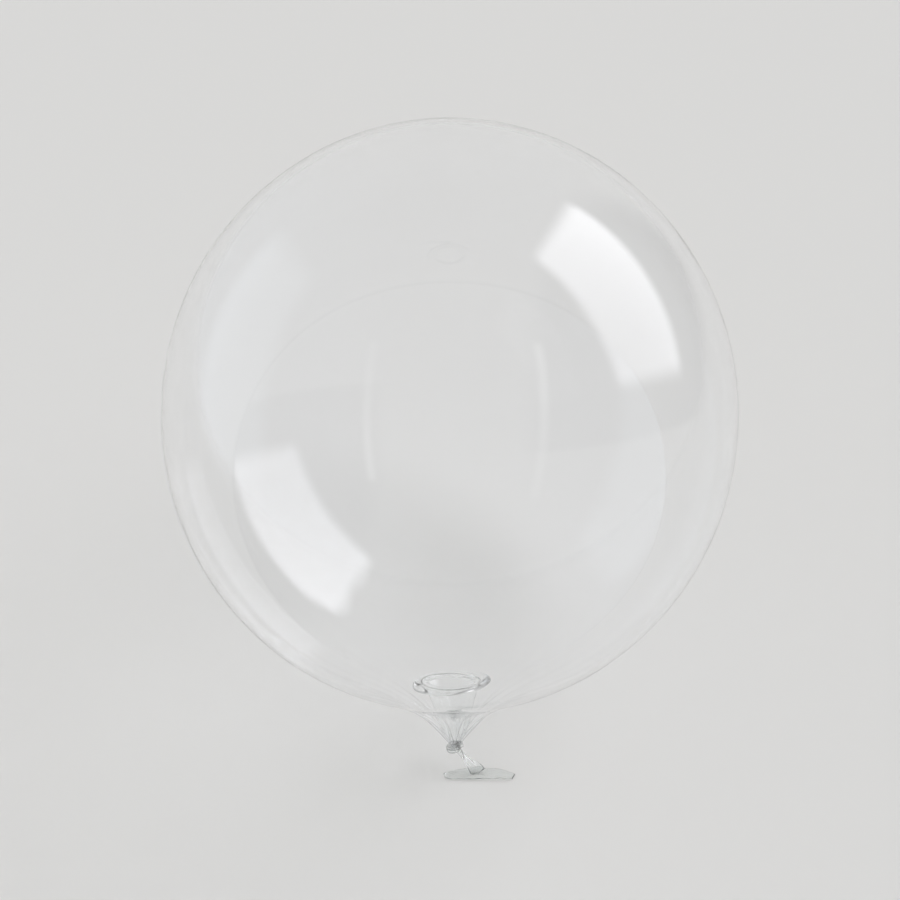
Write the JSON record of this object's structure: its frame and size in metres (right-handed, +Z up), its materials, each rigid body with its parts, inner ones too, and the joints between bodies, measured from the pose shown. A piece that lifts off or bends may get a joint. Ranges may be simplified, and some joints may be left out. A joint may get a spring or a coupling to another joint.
{
  "type": "bubble balloon",
  "caption": "Clear inflated bubble balloon, nearly round, tied off in its own neck with a short twisted tail, lying with its neck down.",
  "frame": {"origin": "middle of the small flat spot that the bubble rests on", "axes": "+Z up; the knotted neck points down and towards -Y; the square-cut end of the tail points along +X"},
  "size_m": [0.4798, 0.4859, 0.4868],
  "materials": {
    "clear_film": "glossy, see-through"
  },
  "bodies": {
    "root": {"bubble_balloon": "clear_film"}
  },
  "joints": []
}
